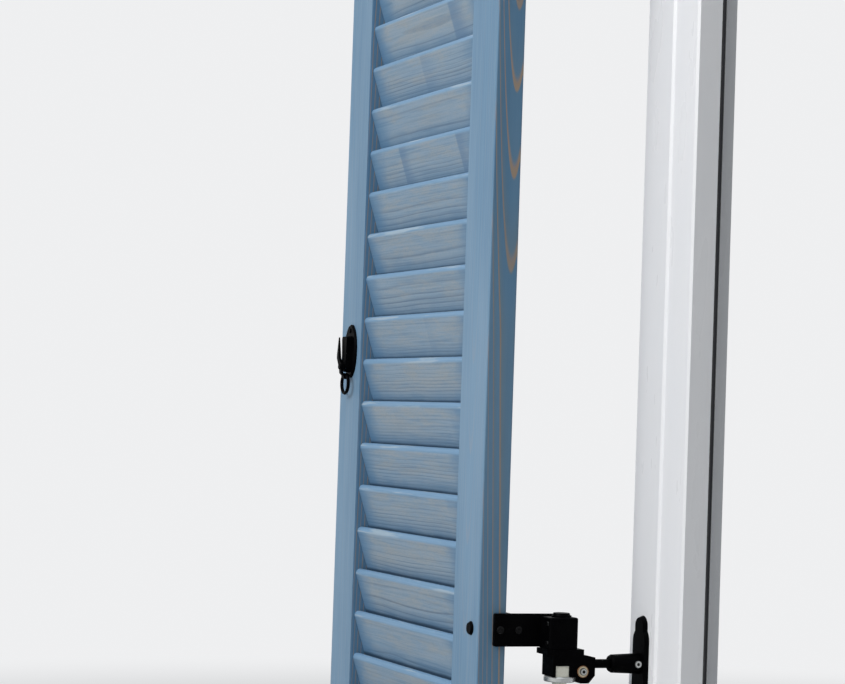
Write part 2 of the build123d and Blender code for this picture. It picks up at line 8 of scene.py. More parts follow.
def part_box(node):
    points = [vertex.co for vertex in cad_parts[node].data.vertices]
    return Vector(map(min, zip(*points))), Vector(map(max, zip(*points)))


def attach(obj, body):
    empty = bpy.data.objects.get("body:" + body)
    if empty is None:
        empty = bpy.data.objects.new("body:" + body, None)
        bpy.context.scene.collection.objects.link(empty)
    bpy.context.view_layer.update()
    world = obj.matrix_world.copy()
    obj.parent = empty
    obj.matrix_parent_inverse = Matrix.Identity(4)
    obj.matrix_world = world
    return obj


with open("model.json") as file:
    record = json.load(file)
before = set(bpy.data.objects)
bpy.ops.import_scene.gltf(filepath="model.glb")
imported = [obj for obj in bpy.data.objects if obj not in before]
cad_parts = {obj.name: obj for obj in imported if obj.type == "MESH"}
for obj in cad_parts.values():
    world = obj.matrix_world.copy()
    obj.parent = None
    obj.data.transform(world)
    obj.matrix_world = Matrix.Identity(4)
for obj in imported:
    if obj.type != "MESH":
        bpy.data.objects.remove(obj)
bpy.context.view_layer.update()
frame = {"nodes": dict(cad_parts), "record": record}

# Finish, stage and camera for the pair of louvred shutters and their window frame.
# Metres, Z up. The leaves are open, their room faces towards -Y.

# Places read from the frame
LEFT_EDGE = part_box("left_hinge_stile")[1].x
LEFT_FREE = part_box("left_free_stile")[0].x
STILE_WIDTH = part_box("left_free_stile")[1].x - LEFT_FREE
ROOM_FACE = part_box("left_top_rail")[0].y
LEAF_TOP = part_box("left_top_rail")[1].z
RAIL_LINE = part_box("left_top_rail")[0].z
LEAF_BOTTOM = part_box("left_hinge_stile")[0].z
FRAME_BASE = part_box("frame_bottom")[0].z
SLATS_LOW, SLATS_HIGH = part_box("left_slats")

# Axes of the clamp screw on the adjusting block and of the screws in the two sleeves
SLEEVE_SCREW_RADIUS = 0.0037
ROD_RADIUS = 0.00475
CLAMP_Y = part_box("left_lower_pin")[0].y + 0.025
CLAMP_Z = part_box("left_adjusting_block")[1].z - 0.023
SLEEVE_SCREW_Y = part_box("left_arm_screws")[1].y - SLEEVE_SCREW_RADIUS
UPPER_SLEEVE_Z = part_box("left_arm_screws")[1].z - SLEEVE_SCREW_RADIUS
LOWER_SLEEVE_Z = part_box("left_lower_rod")[0].z + ROD_RADIUS

# The slats as they stand in the frame: how many, their size, tilt and pitch
SLAT_COUNT = 20
SLAT_TILT = radians(18)
SLAT_THICKNESS = 0.011
SLAT_LENGTH = 0.059
NOSE_RADIUS = SLAT_THICKNESS / 2
SLAT_DROP = (SLAT_LENGTH - NOSE_RADIUS) * cos(SLAT_TILT)
SLAT_PITCH = (SLATS_HIGH.z - SLATS_LOW.z - NOSE_RADIUS - SLAT_DROP) / (SLAT_COUNT - 1)
NOSE_Y = SLATS_LOW.y + NOSE_RADIUS
TOP_NOSE_Z = SLATS_HIGH.z - NOSE_RADIUS


# A written colour, 0 to 255, as the linear colour that a shader takes
def colour(red, green, blue):
    def linear(part):
        part = part / 255
        return part / 12.92 if part <= 0.04045 else ((part + 0.055) / 1.055) ** 2.4

    return (linear(red), linear(green), linear(blue), 1.0)


STAIN = colour(110, 145, 173)
STAIN_DEEP = colour(99, 137, 169)
STAIN_PALE = colour(133, 163, 188)
EARLYWOOD = colour(142, 148, 150)
SLAT_STAIN = colour(138, 163, 184)
SLAT_WORN = colour(158, 171, 180)
SLAT_DEEP = colour(110, 140, 166)
# Painted shadow where the next board's nose hides a slat's face
SLAT_PAINTED_SHADOW = colour(46, 68, 90)
# Pale streaks on the noses: wear and painted highlight
NOSE_WORN_AND_HIGHLIGHT = colour(176, 192, 202)
SLAT_BLUE = colour(98, 137, 170)
# Painted cool sky light on the noses
NOSE_SKY_LIT = colour(122, 158, 190)
LATEWOOD = colour(208, 162, 126)
SLAT_LINE = colour(78, 104, 128)
SLAT_TAN = colour(170, 168, 160)
SLAT_LAP = colour(90, 126, 160)
SLAT_SHADE = colour(88, 114, 138)
BARE_END = colour(80, 88, 94)
FRAME_WHITE = colour(252, 251, 252)
FRAME_SHADE = colour(246, 246, 248)
BLACK_COAT = colour(2, 2, 3)
BLACK_DUSTY = colour(8, 8, 9)
SCREW_BLACK = colour(6, 6, 7)
# Paler specks on the screws: wear and painted glint
SCREW_WORN_AND_GLINT = colour(26, 27, 29)
SEAL_GREY = colour(30, 31, 33)
SEAL_DUSTY = colour(44, 45, 48)
WASHER_CREAM = colour(212, 200, 170)
ZINC = colour(196, 198, 196)
ZINC_DULL = colour(170, 172, 174)
NYLON = colour(232, 230, 216)
NYLON_AGED = colour(214, 208, 188)
RUST = colour(140, 92, 52)

# Painted shade: how much darker the sides and back of a member are made than its room face
SIDE_PAINTED_SHADE = (0.62, 0.74, 0.80, 1.0)

# Colours of the stage: what is seen behind the floor, the light from all sides and the floor
BACKDROP = (0.86, 0.865, 0.875, 1.0)
AMBIENT = (0.85, 0.94, 1.0, 1.0)
FLOOR_PALE = (0.80, 0.80, 0.80, 1.0)
FLOOR_SHADE = (0.77, 0.77, 0.77, 1.0)


# Adds a node with its input values, each a constant or another node's output, and its settings
def put(tree, kind, values=None, **settings):
    made = tree.nodes.new(kind)
    for key, value in settings.items():
        setattr(made, key, value)
    for socket, value in (values or {}).items():
        if isinstance(value, bpy.types.NodeSocket):
            tree.links.new(value, made.inputs[socket])
        else:
            made.inputs[socket].default_value = value
    return made


def calc(tree, operation, a, b=0.0, c=0.0, clamp=False):
    values = {0: a, 1: b, 2: c}
    return put(tree, "ShaderNodeMath", values, operation=operation, use_clamp=clamp).outputs[0]


# Moves smoothly from out_low to out_high while the value goes from low to high
def ramp(tree, value, low, high, out_low=0.0, out_high=1.0):
    values = {"Value": value, "From Min": low, "From Max": high, "To Min": out_low, "To Max": out_high}
    made = put(tree, "ShaderNodeMapRange", values, interpolation_type="SMOOTHSTEP")
    return made.outputs["Result"]


def blend(tree, amount, first, second, kind="MIX"):
    made = put(tree, "ShaderNodeMix", {"Factor": amount}, data_type="RGBA", blend_type=kind)
    for index, value in ((6, first), (7, second)):
        if isinstance(value, bpy.types.NodeSocket):
            tree.links.new(value, made.inputs[index])
        else:
            made.inputs[index].default_value = value
    return made.outputs[2]


def scaled(tree, vector, factors):
    made = put(tree, "ShaderNodeVectorMath", {0: vector, 1: factors}, operation="MULTIPLY")
    return made.outputs[0]


def shifted(tree, vector, offset):
    made = put(tree, "ShaderNodeVectorMath", {0: vector, 1: offset}, operation="ADD")
    return made.outputs[0]


def noise(tree, vector, scale, detail=3.0, rough=0.5):
    values = {"Vector": vector, "Scale": scale, "Detail": detail, "Roughness": rough}
    return put(tree, "ShaderNodeTexNoise", values).outputs["Fac"]


# A random value from 0 to 1 that stays the same for the same number and seed
def random_of(tree, number, seed=0.0):
    vector = put(tree, "ShaderNodeCombineXYZ", {0: number, 1: seed, 2: 0.37}).outputs[0]
    return put(tree, "ShaderNodeTexWhiteNoise", {"Vector": vector}).outputs["Value"]


def new_group(name, inputs, outputs):
    group = bpy.data.node_groups.new(name, "ShaderNodeTree")
    for label, kind, value in inputs:
        socket = group.interface.new_socket(label, in_out="INPUT", socket_type=kind)
        if value is not None:
            socket.default_value = value
    for label, kind in outputs:
        group.interface.new_socket(label, in_out="OUTPUT", socket_type=kind)
    start = group.nodes.new("NodeGroupInput")
    end = group.nodes.new("NodeGroupOutput")
    return group, start.outputs, end.inputs


def use_group(tree, group, **values):
    made = tree.nodes.new("ShaderNodeGroup")
    made.node_tree = group
    for label, value in values.items():
        label = label.replace("_", " ")
        if isinstance(value, bpy.types.NodeSocket):
            tree.links.new(value, made.inputs[label])
        else:
            made.inputs[label].default_value = value
    return made.outputs


FLOAT = "NodeSocketFloat"
VECTOR = "NodeSocketVector"
COLOUR = "NodeSocketColor"


# How much deeper the pith lies for each metre below its upright height
PITH_SINK = 0.03


# Growth rings of a softwood board whose grain runs along its third coordinate
def make_ring_group():
    inputs = (
        ("Position", VECTOR, None),
        ("Pith X", FLOAT, 0.0),
        ("Pith Y", FLOAT, 0.0),
        ("Lean", FLOAT, 0.03),
        ("Upright Below", FLOAT, -1.0),
        ("Spacing", FLOAT, 0.003),
        ("Wander", FLOAT, 0.004),
        ("Pores", FLOAT, 0.08),
        ("Seed", FLOAT, 0.0),
    )
    outputs = (("Line", FLOAT), ("Zone", FLOAT), ("Fibre", FLOAT), ("Tone", FLOAT))
    group, given, result = new_group("growth_rings", inputs, outputs)
    place = shifted(group, given["Position"], given["Seed"])
    parts = put(group, "ShaderNodeSeparateXYZ", {0: given["Position"]}).outputs
    # The pith leans along the board, and below the upright height it stays in place and lies deeper
    sway = noise(group, scaled(group, place, (5.0, 5.0, 3.2)), 1.0, 2.0)
    sway = calc(group, "MULTIPLY", calc(group, "SUBTRACT", sway, 0.5), given["Wander"])
    height = calc(group, "SMOOTH_MAX", parts[2], given["Upright Below"], 0.05)
    drift = calc(group, "MULTIPLY_ADD", height, given["Lean"], given["Pith X"])
    across = calc(group, "ADD", calc(group, "SUBTRACT", parts[0], drift), sway)
    settle = calc(group, "MULTIPLY", calc(group, "SUBTRACT", height, parts[2]), PITH_SINK)
    deep = calc(group, "SUBTRACT", calc(group, "SUBTRACT", parts[1], given["Pith Y"]), settle)
    squares = calc(group, "MULTIPLY_ADD", across, across, calc(group, "MULTIPLY", deep, deep))
    radius = calc(group, "ADD", calc(group, "SQRT", squares), calc(group, "MULTIPLY", sway, 0.5))
    # Each ring ends in a line of latewood, which is stronger in some rings than in others
    rings = calc(group, "DIVIDE", radius, given["Spacing"])
    number = calc(group, "FLOOR", rings)
    phase = calc(group, "FRACT", rings)
    strength = calc(group, "MULTIPLY_ADD", random_of(group, number, 3.1), 0.4, 0.6)
    rise = ramp(group, phase, 0.76, 0.90)
    fall = ramp(group, phase, 0.95, 1.0, 1.0, 0.0)
    line = calc(group, "MULTIPLY", calc(group, "MULTIPLY", rise, fall), strength)
    group.links.new(line, result["Line"])
    zone = calc(group, "MULTIPLY", ramp(group, phase, 0.15, 0.95), random_of(group, number, 7.7))
    group.links.new(zone, result["Zone"])
    # Fine and coarse streaks along the grain, with thin pores between them
    fine = noise(group, scaled(group, place, (640.0, 640.0, 9.0)), 1.0, 4.0, 0.62)
    coarse = noise(group, scaled(group, place, (390.0, 390.0, 7.0)), 1.0, 3.0, 0.6)
    fibre = calc(group, "MULTIPLY_ADD", calc(group, "SUBTRACT", coarse, 0.5), 0.7, fine)
    figure = noise(group, scaled(group, place, (190.0, 190.0, 3.0)), 1.0, 2.0, 0.5)
    edge = calc(group, "ABSOLUTE", calc(group, "SUBTRACT", figure, 0.5))
    pores = calc(group, "MULTIPLY", ramp(group, edge, 0.004, 0.022, 1.0, 0.0), given["Pores"])
    fibre = calc(group, "ADD", fibre, pores)
    group.links.new(fibre, result["Fibre"])
    tone = noise(group, scaled(group, place, (14.0, 14.0, 1.6)), 1.0, 3.0)
    group.links.new(tone, result["Tone"])
    return group


# Stain over wood: the deep and pale stain by fibre and tone, with the latewood showing through
def make_stain_group():
    inputs = (
        ("Stain", COLOUR, STAIN),
        ("Deep", COLOUR, STAIN_DEEP),
        ("Pale", COLOUR, STAIN_PALE),
        ("Latewood", COLOUR, LATEWOOD),
        ("Earlywood", COLOUR, EARLYWOOD),
        ("Line", FLOAT, 0.0),
        ("Zone", FLOAT, 0.0),
        ("Fibre", FLOAT, 0.5),
        ("Tone", FLOAT, 0.5),
        ("Line Amount", FLOAT, 1.0),
    )
    outputs = (("Colour", COLOUR), ("Height", FLOAT))
    group, given, result = new_group("stained_grain", inputs, outputs)
    deep = blend(group, ramp(group, given["Fibre"], 0.42, 0.78, 0.0, 0.8), given["Stain"], given["Deep"])
    pale = blend(group, ramp(group, given["Tone"], 0.40, 0.68, 0.0, 0.6), deep, given["Pale"])
    drained = calc(group, "MULTIPLY", given["Zone"], given["Line Amount"], clamp=True)
    early = blend(group, calc(group, "MULTIPLY", drained, 0.6), pale, given["Earlywood"])
    shown = calc(group, "MULTIPLY", given["Line"], given["Line Amount"], clamp=True)
    group.links.new(blend(group, shown, early, given["Latewood"]), result["Colour"])
    height = calc(group, "MULTIPLY_ADD", given["Line"], 0.6, given["Fibre"])
    group.links.new(height, result["Height"])
    return group


# Fine unevenness of a coated or moulded surface
def make_speckle_group():
    inputs = (("Position", VECTOR, None), ("Scale", FLOAT, 900.0))
    outputs = (("Fine", FLOAT), ("Broad", FLOAT))
    group, given, result = new_group("coat_unevenness", inputs, outputs)
    group.links.new(noise(group, given["Position"], given["Scale"], 2.0), result["Fine"])
    group.links.new(noise(group, given["Position"], 40.0, 3.0), result["Broad"])
    return group


RINGS = make_ring_group()
GRAIN = make_stain_group()
SPECKLE = make_speckle_group()


# A material with a plain Principled shader, and the position that its pattern reads
def new_material(name):
    material = bpy.data.materials.new(name)
    material.use_nodes = True
    tree = material.node_tree
    tree.nodes.clear()
    shader = tree.nodes.new("ShaderNodeBsdfPrincipled")
    output = tree.nodes.new("ShaderNodeOutputMaterial")
    tree.links.new(shader.outputs[0], output.inputs["Surface"])
    position = tree.nodes.new("ShaderNodeTexCoord").outputs["Object"]
    return material, tree, shader.inputs, position


def bump(tree, height, distance):
    values = {"Height": height, "Distance": distance, "Strength": 1.0}
    return put(tree, "ShaderNodeBump", values).outputs["Normal"]


# Stained stile or rail. The room face takes the stain evenly, and the other faces show the rings and are
# darkened as painted shade.
def stained_member(name, along, pith, lean, seed, upright=-1.0, wander=0.004, joint=None):
    material, tree, sockets, position = new_material(name)
    parts = put(tree, "ShaderNodeSeparateXYZ", {0: position}).outputs
    turned = position
    if along == "x":
        turned = put(tree, "ShaderNodeCombineXYZ", {0: parts[2], 1: parts[1], 2: parts[0]}).outputs[0]
    rings = use_group(
        tree,
        RINGS,
        Position=turned,
        Pith_X=pith[0],
        Pith_Y=pith[1],
        Lean=lean,
        Upright_Below=upright,
        Spacing=0.0029,
        Wander=wander,
        Seed=seed,
    )
    shown = ramp(tree, parts[1], ROOM_FACE + 0.0004, ROOM_FACE + 0.0030, 0.10, 1.0)
    painted = use_group(
        tree,
        GRAIN,
        Line=rings["Line"],
        Zone=rings["Zone"],
        Fibre=rings["Fibre"],
        Tone=rings["Tone"],
        Line_Amount=shown,
    )
    # Painted shade: every face but the room face is multiplied darker
    shade = blend(tree, shown, painted["Colour"], SIDE_PAINTED_SHADE, "MULTIPLY")
    if joint is not None:
        gap = calc(tree, "ABSOLUTE", calc(tree, "SUBTRACT", parts[2], joint))
        seam = ramp(tree, gap, 0.0001, 0.0008, 0.75, 0.0)
        shade = blend(tree, seam, shade, BARE_END)
    tree.links.new(shade, sockets["Base Color"])
    rough = ramp(tree, rings["Fibre"], 0.3, 0.7, 0.42, 0.56)
    tree.links.new(rough, sockets["Roughness"])
    tree.links.new(bump(tree, painted["Height"], 0.00005), sockets["Normal"])
    sockets["Specular IOR Level"].default_value = 0.35
    return material


# Where the shades of a slat change, down the board from its nose's axis, and inwards from its ends
NOSE_BAND = (-0.0036, -0.0006)
LINE_BAND = (0.010, 0.044)
TAN_BAND = (0.014, 0.042)
LOW_BAND = (0.036, 0.058)
GAP_SHADOW_BAND = (0.0412, 0.0448)
END_BAND = (-0.022, 0.026)

# How far apart the boards of a leaf are cut from the same long pattern
BOARDS_APART = 1.7


# Which board of a leaf a point belongs to, and where it lies down the board and into it
def place_on_board(tree, parts):
    ahead = calc(tree, "SUBTRACT", parts[1], NOSE_Y)
    level = calc(tree, "MULTIPLY_ADD", ahead, 1 / tan(SLAT_TILT), parts[2])
    count = calc(tree, "DIVIDE", calc(tree, "SUBTRACT", TOP_NOSE_Z, level), SLAT_PITCH)
    board = calc(tree, "ROUND", count)
    rise = calc(tree, "ADD", parts[2], calc(tree, "MULTIPLY", board, SLAT_PITCH))
    rise = calc(tree, "SUBTRACT", rise, TOP_NOSE_Z)
    down = calc(tree, "MULTIPLY_ADD", rise, -cos(SLAT_TILT), calc(tree, "MULTIPLY", ahead, sin(SLAT_TILT)))
    depth = calc(tree, "MULTIPLY_ADD", rise, sin(SLAT_TILT), calc(tree, "MULTIPLY", ahead, cos(SLAT_TILT)))
    return board, down, depth


# Each board turns paler and tan over its upper half, in patches, and dirt has mottled it
def tan_upper_half(tree, shade, turned, down):
    tan_patches = noise(tree, scaled(tree, turned, (90.0, 90.0, 16.0)), 1.0, 5.0, 0.65)
    upper_half = ramp(tree, down, *TAN_BAND, 0.42, 0.06)
    shade = blend(tree, calc(tree, "MULTIPLY", ramp(tree, tan_patches, 0.38, 0.66), upper_half), shade, SLAT_TAN)
    mottle = noise(tree, scaled(tree, turned, (900.0, 900.0, 260.0)), 1.0, 2.0, 0.6)
    return blend(tree, ramp(tree, mottle, 0.45, 0.75, 0.0, 0.35), shade, SLAT_DEEP)


# Bluer and darker towards the ends, with painted shade along the lower edge and a painted shadow where the
# next board starts
def blue_ends_and_painted_shade(tree, shade, turned, down, from_end):
    patch = noise(tree, scaled(tree, turned, (30.0, 30.0, 22.0)), 1.0, 3.0)
    ends = ramp(tree, calc(tree, "MULTIPLY_ADD", patch, -0.05, from_end), *END_BAND, 0.85, 0.0)
    shade = blend(tree, ends, shade, SLAT_BLUE)
    # Painted shade: the lower edge of the face is bluer and darker
    low_edge = ramp(tree, calc(tree, "MULTIPLY_ADD", patch, 0.02, down), *LOW_BAND, 0.0, 0.7)
    shade = blend(tree, low_edge, shade, SLAT_BLUE)
    # Painted shadow: a dark line where the next board starts
    gap_shadow = ramp(tree, calc(tree, "MULTIPLY_ADD", patch, 0.002, down), *GAP_SHADOW_BAND, 0.0, 0.85)
    return blend(tree, gap_shadow, shade, SLAT_PAINTED_SHADOW)


# On some of the upper boards a lap of the brush left a deeper band across
def lapped(tree, shade, along, board, shift, stretch, seed):
    span = ramp(tree, stretch, 0.0, 1.0, 0.17, 0.30)
    lap = calc(tree, "FRACT", calc(tree, "DIVIDE", calc(tree, "MULTIPLY_ADD", shift, 0.5, along), span))
    lap = calc(tree, "MULTIPLY", ramp(tree, lap, 0.0, 0.02), ramp(tree, lap, 0.04, 0.22, 1.0, 0.0))
    marked = ramp(tree, random_of(tree, board, seed), 0.50, 0.64, 0.0, 0.6)
    marked = calc(tree, "MULTIPLY", marked, ramp(tree, board, 8.0, 12.0, 1.0, 0.1))
    return blend(tree, calc(tree, "MULTIPLY", lap, marked), shade, SLAT_LAP)


# The round nose is painted bluer for the cool sky light on its upward curve, and pale in streaks that are
# partly rubbed wear and partly painted highlight
def nosed(tree, shade, turned, down, fibre):
    # Painted sky light: the nose is bluer than the face
    nose_shade = blend(tree, ramp(tree, fibre, 0.4, 0.8, 0.0, 0.5), NOSE_SKY_LIT, STAIN)
    streaks = noise(tree, scaled(tree, turned, (160.0, 160.0, 9.0)), 1.0, 3.0)
    # Pale streaks: wear and painted highlight
    rubbed_and_highlight = ramp(tree, streaks, 0.54, 0.66, 0.0, 0.7)
    nose_shade = blend(tree, rubbed_and_highlight, nose_shade, NOSE_WORN_AND_HIGHLIGHT)
    return blend(tree, ramp(tree, down, *NOSE_BAND, 0.95, 0.0), shade, nose_shade)


# Stained slats. Each board has its own rings and wear, and its grain runs along X, with painted shade,
# painted shadow and painted sky light.
def stained_slats(name, inner_low, inner_high, seed):
    material, tree, sockets, position = new_material(name)
    parts = put(tree, "ShaderNodeSeparateXYZ", {0: position}).outputs
    board, down, depth = place_on_board(tree, parts)
    first = random_of(tree, board, seed)
    second = random_of(tree, board, seed + 1)
    third = random_of(tree, board, seed + 2)
    along = calc(tree, "MULTIPLY_ADD", board, BOARDS_APART, parts[0])
    turned = put(tree, "ShaderNodeCombineXYZ", {0: down, 1: depth, 2: along}).outputs[0]
    rings = use_group(
        tree,
        RINGS,
        Position=turned,
        Pith_X=ramp(tree, first, 0.0, 1.0, -0.03, 0.02),
        Pith_Y=ramp(tree, second, 0.0, 1.0, 0.022, 0.05),
        Lean=0.0,
        Spacing=0.0034,
        Wander=0.008,
        Pores=0.05,
        Seed=seed,
    )
    lower = calc(tree, "MULTIPLY_ADD", third, 0.02, down)
    worn = use_group(
        tree,
        GRAIN,
        Stain=SLAT_STAIN,
        Deep=SLAT_DEEP,
        Pale=SLAT_WORN,
        Latewood=SLAT_LINE,
        Earlywood=SLAT_SHADE,
        Line=rings["Line"],
        Zone=rings["Zone"],
        Fibre=rings["Fibre"],
        Tone=rings["Tone"],
        Line_Amount=ramp(tree, lower, *LINE_BAND, 0.18, 0.85),
    )
    from_low = calc(tree, "SUBTRACT", parts[0], inner_low)
    from_high = calc(tree, "SUBTRACT", inner_high, parts[0])
    from_end = calc(tree, "MINIMUM", from_low, from_high)
    shade = tan_upper_half(tree, worn["Colour"], turned, down)
    shade = blue_ends_and_painted_shade(tree, shade, turned, down, from_end)
    shade = lapped(tree, shade, parts[0], board, first, second, seed + 3)
    shade = nosed(tree, shade, turned, down, rings["Fibre"])
    tree.links.new(shade, sockets["Base Color"])
    tree.links.new(ramp(tree, rings["Fibre"], 0.3, 0.7, 0.46, 0.62), sockets["Roughness"])
    tree.links.new(bump(tree, worn["Height"], 0.00005), sockets["Normal"])
    sockets["Specular IOR Level"].default_value = 0.3
    return material


# Black powder coat of the hinges and the latch
def black_coat():
    material, tree, sockets, position = new_material("black_coat")
    uneven = use_group(tree, SPECKLE, Position=position, Scale=1400.0)
    dusty = ramp(tree, uneven["Broad"], 0.45, 0.75, 0.0, 0.5)
    tree.links.new(blend(tree, dusty, BLACK_COAT, BLACK_DUSTY), sockets["Base Color"])
    tree.links.new(ramp(tree, uneven["Broad"], 0.3, 0.7, 0.38, 0.50), sockets["Roughness"])
    tree.links.new(bump(tree, uneven["Fine"], 0.00006), sockets["Normal"])
    sockets["Specular IOR Level"].default_value = 0.02
    return material


# Black screws, smoother than the coated parts round them, paler in specks that are partly wear and partly
# painted glint
def screw_black(name, shine):
    material, tree, sockets, position = new_material(name)
    uneven = use_group(tree, SPECKLE, Position=position, Scale=2600.0)
    # Paler specks: wear, and painted glint on the screw heads
    worn = ramp(tree, uneven["Fine"], 0.45, 0.70, 0.0, 0.8)
    tree.links.new(blend(tree, worn, SCREW_BLACK, SCREW_WORN_AND_GLINT), sockets["Base Color"])
    tree.links.new(ramp(tree, uneven["Fine"], 0.3, 0.7, 0.16, 0.28), sockets["Roughness"])
    sockets["Metallic"].default_value = 0.4
    sockets["Specular IOR Level"].default_value = shine
    return material


# Zinc plate of the height nuts
def zinc_plate():
    material, tree, sockets, position = new_material("zinc_plate")
    uneven = use_group(tree, SPECKLE, Position=position, Scale=2200.0)
    dull = ramp(tree, uneven["Broad"], 0.4, 0.7, 0.0, 0.4)
    tree.links.new(blend(tree, dull, ZINC, ZINC_DULL), sockets["Base Color"])
    tree.links.new(ramp(tree, uneven["Fine"], 0.3, 0.7, 0.28, 0.42), sockets["Roughness"])
    sockets["Metallic"].default_value = 0.85
    return material


# Natural nylon of the guides and feet
def nylon():
    material, tree, sockets, position = new_material("nylon")
    uneven = use_group(tree, SPECKLE, Position=position, Scale=500.0)
    aged = ramp(tree, uneven["Fine"], 0.4, 0.8, 0.0, 0.5)
    tree.links.new(blend(tree, aged, NYLON, NYLON_AGED), sockets["Base Color"])
    sockets["Roughness"].default_value = 0.45
    return material


# Smooth white of the window frame
def frame_white():
    material, tree, sockets, position = new_material("frame_white")
    uneven = use_group(tree, SPECKLE, Position=scaled(tree, position, (1.0, 1.0, 0.25)), Scale=60.0)
    tint = ramp(tree, uneven["Broad"], 0.35, 0.75, 0.0, 0.4)
    tree.links.new(blend(tree, tint, FRAME_WHITE, FRAME_SHADE), sockets["Base Color"])
    tree.links.new(ramp(tree, uneven["Broad"], 0.3, 0.7, 0.26, 0.36), sockets["Roughness"])
    tree.links.new(bump(tree, uneven["Fine"], 0.00003), sockets["Normal"])
    return material


# Radii where the shades change on the clamp screw and on the sleeve screws, out from their axes
CLAMP_SOCKET = (0.0017, 0.0019)
CLAMP_GROOVE = (0.0030, 0.0034)
CLAMP_HEAD = (0.0037, 0.0041)
WASHER_RIM = (0.0056, 0.0066)
WASHER_EDGE = (0.0066, 0.0070)
SLEEVE_SOCKET = (0.0016, 0.0019)
SLEEVE_LIP = (0.0030, 0.0034)


# Distance of a point from an axis that runs along X
def from_x_axis(tree, position, y, z):
    flat = scaled(tree, shifted(tree, position, (0.0, -y, -z)), (0.0, 1.0, 1.0))
    return put(tree, "ShaderNodeVectorMath", {0: flat}, operation="LENGTH").outputs["Value"]


# Zinc of the sleeve screws, with painted shade in the socket and round the lip
def sleeve_screw_shade(tree, position, uneven):
    lower = from_x_axis(tree, position, SLEEVE_SCREW_Y, LOWER_SLEEVE_Z)
    upper = from_x_axis(tree, position, SLEEVE_SCREW_Y, UPPER_SLEEVE_Z)
    reach = calc(tree, "MINIMUM", lower, upper)
    # Painted shade: the socket and the lip are darkened
    hole = ramp(tree, reach, *SLEEVE_SOCKET, 0.92, 0.0)
    lip = calc(tree, "MULTIPLY", ramp(tree, reach, *SLEEVE_LIP), 0.5)
    metal = blend(tree, ramp(tree, uneven["Broad"], 0.4, 0.7, 0.0, 0.4), ZINC, ZINC_DULL)
    return blend(tree, calc(tree, "MAXIMUM", hole, lip), metal, BLACK_COAT)


# Zinc head of the clamp screw on its cream washer, which is rusted round its rim, with painted shade in
# the groove and the socket of the head
def clamp_screw_shade(tree, reach, uneven):
    uneven_reach = calc(tree, "MULTIPLY_ADD", uneven["Fine"], 0.0014, reach)
    washer = blend(tree, ramp(tree, uneven_reach, *WASHER_RIM, 0.0, 0.9), WASHER_CREAM, RUST)
    # Painted shade: a dark ring for the groove of the head
    groove = ramp(tree, reach, *CLAMP_GROOVE, 0.0, 0.9)
    head = blend(tree, groove, ZINC, BLACK_COAT)
    shade = blend(tree, ramp(tree, reach, *CLAMP_HEAD, 1.0, 0.0), washer, head)
    # Painted shade: the socket of the head is black
    return blend(tree, ramp(tree, reach, *CLAMP_SOCKET, 1.0, 0.0), shade, BLACK_COAT)


# Arm screws of one leaf's hinges: the sleeve screws, and the clamp screw inside its washer's edge
def arm_screw_zinc(name):
    material, tree, sockets, position = new_material(name)
    uneven = use_group(tree, SPECKLE, Position=position, Scale=1800.0)
    reach = from_x_axis(tree, position, CLAMP_Y, CLAMP_Z)
    near = ramp(tree, reach, *WASHER_EDGE, 1.0, 0.0)
    sleeve = sleeve_screw_shade(tree, position, uneven)
    clamp = clamp_screw_shade(tree, reach, uneven)
    tree.links.new(blend(tree, near, sleeve, clamp), sockets["Base Color"])
    tree.links.new(ramp(tree, uneven["Fine"], 0.3, 0.7, 0.30, 0.46), sockets["Roughness"])
    tree.links.new(ramp(tree, near, 0.0, 1.0, 0.85, 0.15), sockets["Metallic"])
    return material


# Gives a CAD node its finish, on every slot of its mesh
def paint(node, material):
    for slot in frame["nodes"][node].material_slots:
        slot.material = material


# Wood of one leaf. Each member has rings of its own, and sign is -1 for the mirrored right leaf.
def finish_leaf_wood(side, sign, shift):
    edge = LEFT_EDGE * sign
    free = LEFT_FREE * sign
    hinge_stile_wood = stained_member(
        side + "_hinge_stile_wood",
        along="z",
        pith=(edge - 0.0525 * sign, ROOM_FACE + 0.0243),
        lean=0.031 * sign,
        seed=1.0 + shift,
        upright=0.536,
        wander=0.0012,
        joint=RAIL_LINE,
    )
    free_stile_wood = stained_member(
        side + "_free_stile_wood",
        along="z",
        pith=(free + 0.020 * sign, ROOM_FACE + 0.050),
        lean=-0.022,
        seed=2.0 + shift,
        joint=RAIL_LINE,
    )
    top_rail_wood = stained_member(
        side + "_top_rail_wood",
        along="x",
        pith=(LEAF_TOP - 0.030, ROOM_FACE + 0.060),
        lean=0.012,
        seed=3.0 + shift,
        joint=RAIL_LINE,
    )
    bottom_rail_wood = stained_member(
        side + "_bottom_rail_wood",
        along="x",
        pith=(LEAF_BOTTOM + 0.040, ROOM_FACE + 0.055),
        lean=-0.010,
        seed=4.0 + shift,
    )
    inner = sorted((free + STILE_WIDTH * sign, edge - STILE_WIDTH * sign))
    slat_wood = stained_slats(side + "_slat_wood", inner[0], inner[1], 11.0 + shift)
    paint(side + "_hinge_stile", hinge_stile_wood)
    paint(side + "_free_stile", free_stile_wood)
    paint(side + "_top_rail", top_rail_wood)
    paint(side + "_bottom_rail", bottom_rail_wood)
    paint(side + "_slats", slat_wood)


